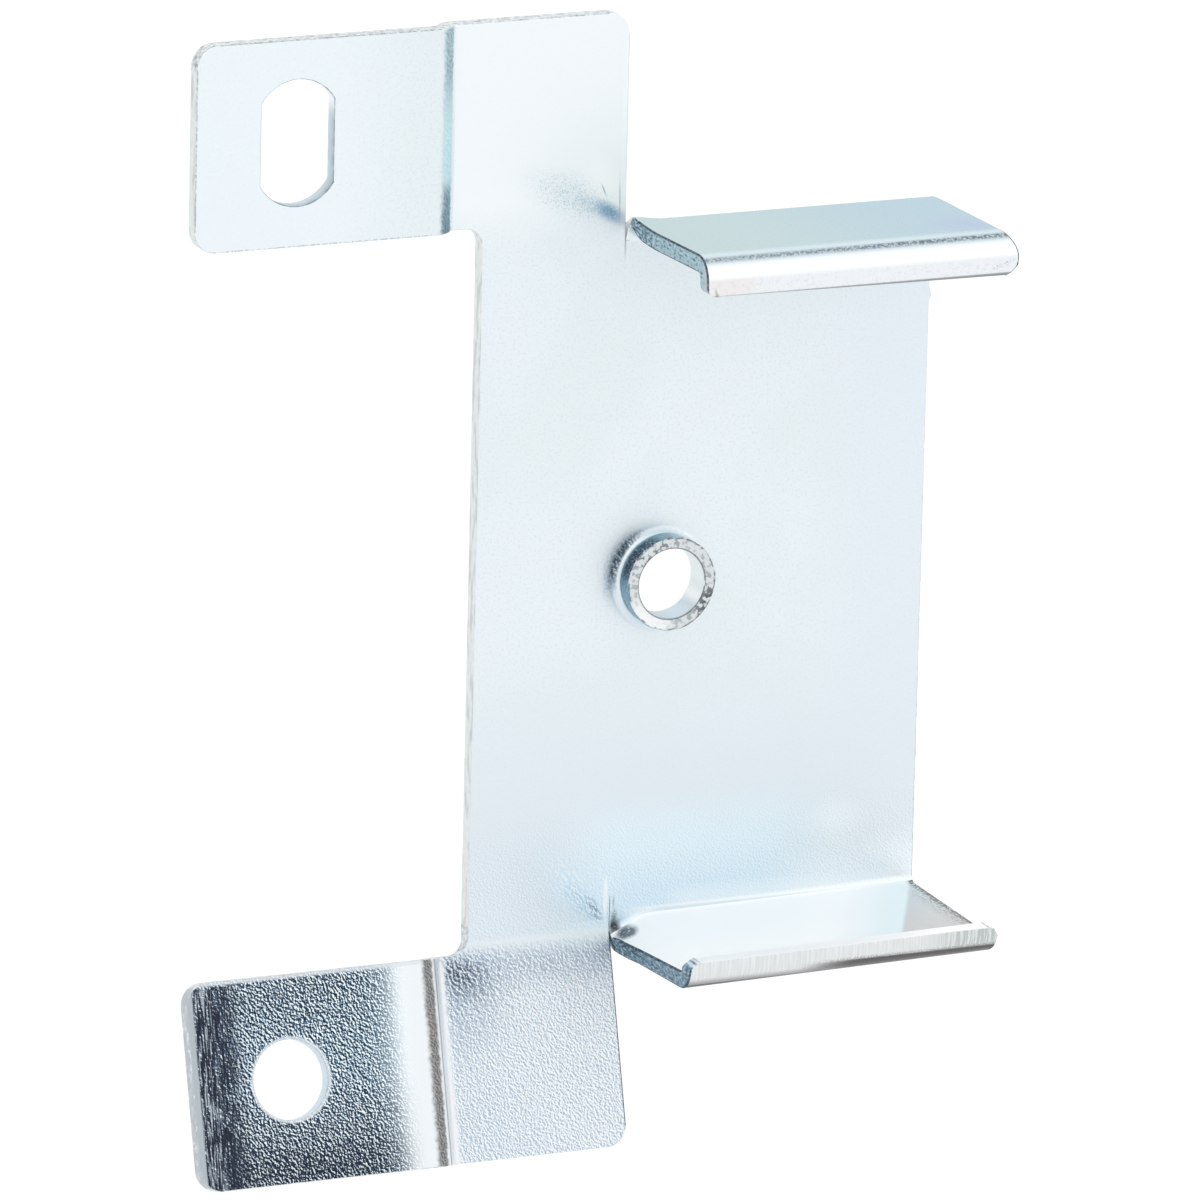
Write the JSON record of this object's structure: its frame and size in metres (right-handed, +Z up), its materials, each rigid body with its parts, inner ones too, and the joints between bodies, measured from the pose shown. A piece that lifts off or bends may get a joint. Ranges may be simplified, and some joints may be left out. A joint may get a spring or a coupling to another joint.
{
  "type": "drawer slide mounting bracket",
  "caption": "Folded steel bracket with a lipped channel that holds the end of a drawer slide, and stepped tabs with a hole and a slot for screws.",
  "frame": {"origin": "on the axis of the drawn collar, at the plate's front face", "axes": "+X from the fixing tabs towards the channel's open side, +Y through the plate to its back, +Z up from the round hole's tab towards the slotted tab; the flanges and the collar point along -Y"},
  "size_m": [0.0544, 0.0137, 0.0774],
  "materials": {
    "zinc_plate": "zinc plated steel with a pale blue passivate, satin on the flats and grained on the leaning tab"
  },
  "bodies": {
    "root": {"bracket": "zinc_plate"}
  },
  "joints": []
}
